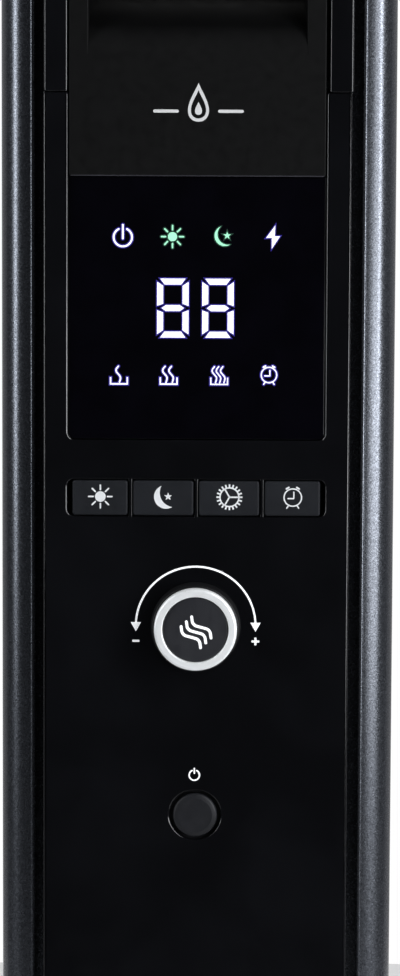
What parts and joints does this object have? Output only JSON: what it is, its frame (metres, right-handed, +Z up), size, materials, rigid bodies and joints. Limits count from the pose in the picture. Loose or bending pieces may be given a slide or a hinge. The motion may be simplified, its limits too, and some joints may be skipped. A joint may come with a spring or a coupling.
{
  "type": "oil filled radiator heater",
  "caption": "Narrow column of upright fins filled with oil, with a control panel and display at one end, a carry handle and swivel castors.",
  "frame": {"origin": "on the floor, below the middle of the whole heater", "axes": "+X across the fins, +Y along the row of fins away from the control end, +Z up"},
  "size_m": [0.24, 0.3814, 0.64],
  "materials": {
    "gloss_black": "high gloss",
    "matt_black": "fine matt grain",
    "housing_plastic": "matt",
    "display_tint": "smoked gloss",
    "display_parts": "matt",
    "light_plastic": "translucent white",
    "circuit_board": "solder resist",
    "key_rubber": "soft matt",
    "switch_plastic": "matt",
    "knob_plastic": "fine matt",
    "satin_silver": "satin plated",
    "plain_steel": "plain",
    "power_key": "satin",
    "relay_blue": "moulded",
    "terminal_green": "moulded",
    "zinc_steel": "zinc plated",
    "element_steel": "drawn tube",
    "gasket_rubber": "fibre gasket",
    "wire_red": "insulated wire",
    "core_paint": "textured metallic powder coat",
    "heat_oil": "clear oil",
    "foot_paint": "black powder coat",
    "castor_plastic": "moulded nylon",
    "axle_steel": "turned pin",
    "castor_tread": "moulded nylon",
    "lit_symbols": "lit white",
    "lit_mint": "lit mint",
    "printed_grey": "printed ink"
  },
  "bodies": {
    "heater": {"front_panel": "gloss_black", "carry_handle": "gloss_black", "scoop_insert": "matt_black", "rear_housing": "housing_plastic", "cord_gland": "housing_plastic", "display_window": "display_tint", "display_module": "display_parts", "light_guide": "light_plastic", "tilt_switch": "light_plastic", "room_sensor": "light_plastic", "control_board": "circuit_board", "power_board": "circuit_board", "tact_switches": "switch_plastic", "power_switch": "switch_plastic", "encoder_body": "plain_steel", "thermal_cutout": "plain_steel", "relays": "relay_blue", "terminal_block": "terminal_green", "spine_plate": "zinc_steel", "housing_screws": "zinc_steel", "mounting_nuts": "zinc_steel", "filler_plug": "zinc_steel", "u_bolts": "zinc_steel", "wing_nuts": "zinc_steel", "heating_element": "element_steel", "element_gasket": "gasket_rubber", "wiring_loom": "wire_red", "fin_1": "core_paint", "fin_2": "core_paint", "fin_3": "core_paint", "fin_4": "core_paint", "fin_5": "core_paint", "fin_6": "core_paint", "fin_7": "core_paint", "header_collars": "core_paint", "thermal_oil": "heat_oil", "foot_front": "foot_paint", "foot_rear": "foot_paint"},
    "day_key": {"button_day": "key_rubber"},
    "night_key": {"button_night": "key_rubber"},
    "settings_key": {"button_settings": "key_rubber"},
    "timer_key": {"button_timer": "key_rubber"},
    "power_key": {"power_button": "power_key"},
    "knob_plunger": {"encoder_plunger": "light_plastic"},
    "knob": {"encoder_shaft": "plain_steel", "knob_skirt": "knob_plastic", "knob_ring": "satin_silver", "knob_cap": "knob_plastic"},
    "castor_1": {"castor_fork_1": "castor_plastic", "castor_axle_1": "axle_steel"},
    "wheel_1": {"castor_wheel_1": "castor_tread"},
    "castor_2": {"castor_fork_2": "castor_plastic", "castor_axle_2": "axle_steel"},
    "wheel_2": {"castor_wheel_2": "castor_tread"},
    "castor_3": {"castor_fork_3": "castor_plastic", "castor_axle_3": "axle_steel"},
    "wheel_3": {"castor_wheel_3": "castor_tread"},
    "castor_4": {"castor_fork_4": "castor_plastic", "castor_axle_4": "axle_steel"},
    "wheel_4": {"castor_wheel_4": "castor_tread"}
  },
  "joints": [
    {"name": "day_press", "type": "slide", "parent": "heater", "child": "day_key", "axis": [0, 1, 0], "range_m": [0, 0.0008], "stiffness_N_per_m": 1000, "springref_m": -0.001},
    {"name": "night_press", "type": "slide", "parent": "heater", "child": "night_key", "axis": [0, 1, 0], "range_m": [0, 0.0008], "stiffness_N_per_m": 1000, "springref_m": -0.001},
    {"name": "settings_press", "type": "slide", "parent": "heater", "child": "settings_key", "axis": [0, 1, 0], "range_m": [0, 0.0008], "stiffness_N_per_m": 1000, "springref_m": -0.001},
    {"name": "timer_press", "type": "slide", "parent": "heater", "child": "timer_key", "axis": [0, 1, 0], "range_m": [0, 0.0008], "stiffness_N_per_m": 1000, "springref_m": -0.001},
    {"name": "power_press", "type": "slide", "parent": "heater", "child": "power_key", "axis": [0, 1, 0], "range_m": [0, 0.0025], "stiffness_N_per_m": 400, "springref_m": -0.0015},
    {"name": "knob_press", "type": "slide", "parent": "heater", "child": "knob_plunger", "axis": [0, 1, 0], "range_m": [0, 0.0005], "stiffness_N_per_m": 2000, "springref_m": -0.0012},
    {"name": "knob_turn", "type": "hinge", "parent": "knob_plunger", "child": "knob", "pos_m": [0, -0.18035, 0.3475], "axis": [0, -1, 0], "continuous": true},
    {"name": "castor_1_swivel", "type": "hinge", "parent": "heater", "child": "castor_1", "pos_m": [-0.103, -0.09485, 0.045], "axis": [0, 0, 1], "continuous": true},
    {"name": "castor_1_roll", "type": "hinge", "parent": "castor_1", "child": "wheel_1", "pos_m": [-0.103, -0.08085, 0.02], "axis": [1, 0, 0], "continuous": true},
    {"name": "castor_2_swivel", "type": "hinge", "parent": "heater", "child": "castor_2", "pos_m": [0.103, -0.09485, 0.045], "axis": [0, 0, 1], "continuous": true},
    {"name": "castor_2_roll", "type": "hinge", "parent": "castor_2", "child": "wheel_2", "pos_m": [0.103, -0.08085, 0.02], "axis": [1, 0, 0], "continuous": true},
    {"name": "castor_3_swivel", "type": "hinge", "parent": "heater", "child": "castor_3", "pos_m": [-0.103, 0.14515, 0.045], "axis": [0, 0, 1], "continuous": true},
    {"name": "castor_3_roll", "type": "hinge", "parent": "castor_3", "child": "wheel_3", "pos_m": [-0.103, 0.15915, 0.02], "axis": [1, 0, 0], "continuous": true},
    {"name": "castor_4_swivel", "type": "hinge", "parent": "heater", "child": "castor_4", "pos_m": [0.103, 0.14515, 0.045], "axis": [0, 0, 1], "continuous": true},
    {"name": "castor_4_roll", "type": "hinge", "parent": "castor_4", "child": "wheel_4", "pos_m": [0.103, 0.15915, 0.02], "axis": [1, 0, 0], "continuous": true}
  ]
}
